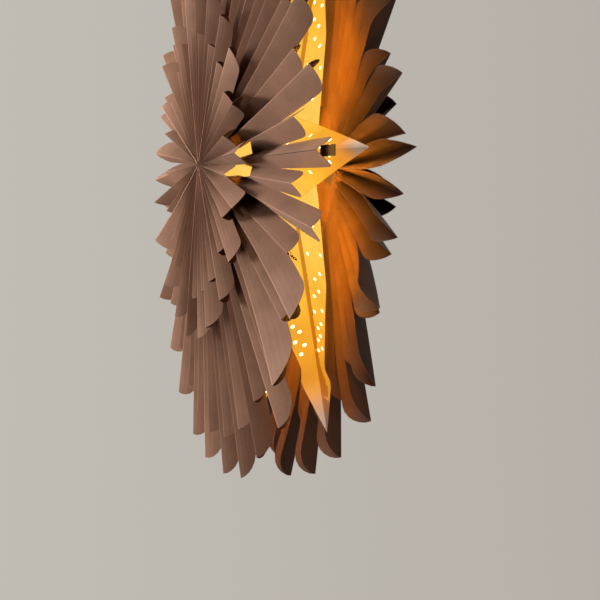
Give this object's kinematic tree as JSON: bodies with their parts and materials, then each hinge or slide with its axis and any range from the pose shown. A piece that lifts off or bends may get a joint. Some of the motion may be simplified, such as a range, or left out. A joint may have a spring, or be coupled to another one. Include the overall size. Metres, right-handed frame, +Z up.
{
  "type": "paper star lantern",
  "caption": "Hanging paper star lantern: a perforated star body between pleated petal rings and rosettes, with an E14 lamp inside.",
  "frame": {"origin": "centre of the cord grip's mouth, at the top of the stem", "axes": "+Z up along the stem and the cord; the flat star stands in the XZ plane; -Y is out of the front face; the seam is at +X"},
  "size_m": [0.6109, 0.15, 0.5998],
  "materials": {
    "star_paper": "matte, perforated, lit from inside",
    "ring_paper": "matte coloured paper, mocha brown",
    "hub_card": "matte",
    "tab_card": "matte",
    "stem_steel": "satin",
    "holder_plastic": "matte moulded",
    "ceramic": "unglazed",
    "brass": "satin",
    "bulb_metal": "satin",
    "bulb_plastic": "semi-gloss",
    "opal_globe": "opal",
    "led_board": "white coated"
  },
  "bodies": {
    "lantern": {"back_hub_disc": "hub_card", "back_hub_spacer": "hub_card", "back_inner_pleats_1": "ring_paper", "back_inner_pleats_2": "ring_paper", "back_inner_pleats_3": "ring_paper", "back_inner_pleats_4": "ring_paper", "back_inner_pleats_5": "ring_paper", "back_inner_pleats_6": "ring_paper", "back_inner_pleats_7": "ring_paper", "back_outer_pleats_1": "ring_paper", "back_outer_pleats_2": "ring_paper", "back_outer_pleats_3": "ring_paper", "back_outer_pleats_4": "ring_paper", "back_outer_pleats_5": "ring_paper", "back_outer_pleats_6": "ring_paper", "back_outer_pleats_7": "ring_paper", "cord_grip_body": "holder_plastic", "cord_grip_nut": "holder_plastic", "front_hub_disc": "hub_card", "front_hub_spacer": "hub_card", "front_inner_pleats_1": "ring_paper", "front_inner_pleats_2": "ring_paper", "front_inner_pleats_3": "ring_paper", "front_inner_pleats_4": "ring_paper", "front_inner_pleats_5": "ring_paper", "front_inner_pleats_6": "ring_paper", "front_inner_pleats_7": "ring_paper", "front_outer_pleats_1": "ring_paper", "front_outer_pleats_2": "ring_paper", "front_outer_pleats_3": "ring_paper", "front_outer_pleats_4": "ring_paper", "front_outer_pleats_5": "ring_paper", "front_outer_pleats_6": "ring_paper", "front_outer_pleats_7": "ring_paper", "holder_cap": "holder_plastic", "holder_contact": "brass", "holder_insulator": "ceramic", "holder_screw_shell": "brass", "holder_skirt": "holder_plastic", "star_point_1": "star_paper", "star_point_2": "star_paper", "star_point_3": "star_paper", "star_point_4": "star_paper", "star_point_5": "star_paper", "star_point_6": "star_paper", "star_point_7": "star_paper", "stem_tube": "stem_steel", "support_collar": "stem_steel"},
    "bulb": {"bulb_screw_cap": "bulb_metal", "bulb_contact": "bulb_metal", "bulb_housing": "bulb_plastic", "bulb_globe": "opal_globe", "led_board": "led_board"},
    "front_tab": {"front_seam_tab": "tab_card"}
  },
  "joints": [
    {"name": "bulb_turn", "type": "hinge", "parent": "lantern", "child": "bulb", "pos_m": [0, 0, -0.166], "axis": [0, 0, 1], "continuous": true},
    {"name": "front_tab_lift", "type": "hinge", "parent": "lantern", "child": "front_tab", "pos_m": [0.29403, -0.03025, -0.19792], "axis": [0.9699, 0.2425, -0.022], "range_deg": [0, 70]}
  ]
}
